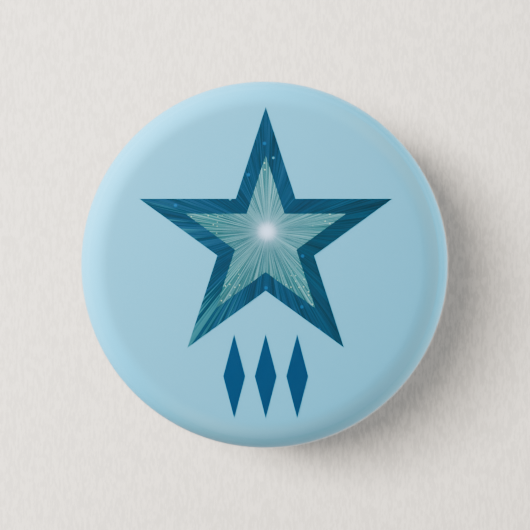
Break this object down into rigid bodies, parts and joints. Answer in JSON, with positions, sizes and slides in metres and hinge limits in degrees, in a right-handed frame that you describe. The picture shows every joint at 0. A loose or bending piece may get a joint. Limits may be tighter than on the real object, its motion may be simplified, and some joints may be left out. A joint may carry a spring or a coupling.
{
  "type": "button badge",
  "caption": "Round domed pin-back button badge: printed paper under clear film on a tinplate shell, with a tinplate back plate and a sprung wire pin.",
  "frame": {"origin": "middle of the plane that the rear rim lies in, where the badge meets the garment", "axes": "+Y out of the back towards the garment, so the face looks along -Y; +Z towards the top of the print; +X to the right as the face is seen"},
  "size_m": [0.0572, 0.0072, 0.0572],
  "materials": {
    "clear_film": "clear, glossy",
    "printed_paper": "pale blue print with a dark blue star",
    "shell_tinplate": "plain tinplate",
    "plate_tinplate": "bright tinplate",
    "plated_wire": "nickel-plated spring wire"
  },
  "bodies": {
    "badge": {"clear_film": "clear_film", "printed_paper": "printed_paper", "shell": "shell_tinplate", "back_plate": "plate_tinplate", "pin_bow": "plated_wire"},
    "needle": {"pin_needle": "plated_wire"}
  },
  "joints": [
    {"name": "needle_hinge", "type": "hinge", "parent": "badge", "child": "needle", "pos_m": [-0.01565, -0.00145, 0.004], "axis": [0, 0.5, 0.866], "range_deg": [0, 40], "stiffness_Nm_per_rad": 0.1}
  ]
}
